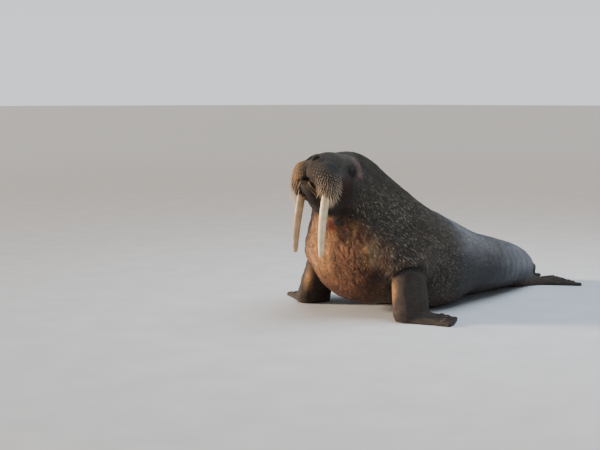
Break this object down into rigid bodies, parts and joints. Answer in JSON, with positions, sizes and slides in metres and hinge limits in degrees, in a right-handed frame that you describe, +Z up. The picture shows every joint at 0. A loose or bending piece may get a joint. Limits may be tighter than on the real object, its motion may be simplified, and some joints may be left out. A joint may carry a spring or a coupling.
{
  "type": "walrus",
  "caption": "Life-size bull walrus propped up on its fore flippers, head raised and turned a little, with long tusks, whiskered muzzle pads and spread hind flippers.",
  "frame": {"origin": "on the floor, at the centre of the bounding box's base", "axes": "+X from the tail towards the head, +Y to the animal's left, +Z up"},
  "size_m": [3.4434, 1.9568, 1.3588],
  "materials": {
    "skin": "damp, wrinkled hide with short sparse hair",
    "ivory": "smooth, worn ivory",
    "eye": "wet, glossy"
  },
  "bodies": {
    "root": {"head": "skin", "muzzle": "skin", "lower_jaw": "skin", "neck": "skin", "chest": "skin", "torso": "skin", "rump": "skin", "tail": "skin", "forearm_left": "skin", "forearm_right": "skin", "fore_flipper_left": "skin", "fore_flipper_right": "skin", "hind_flipper_left": "skin", "hind_flipper_right": "skin", "tusk_left": "ivory", "tusk_right": "ivory", "eye_left": "eye", "eye_right": "eye"}
  },
  "joints": []
}
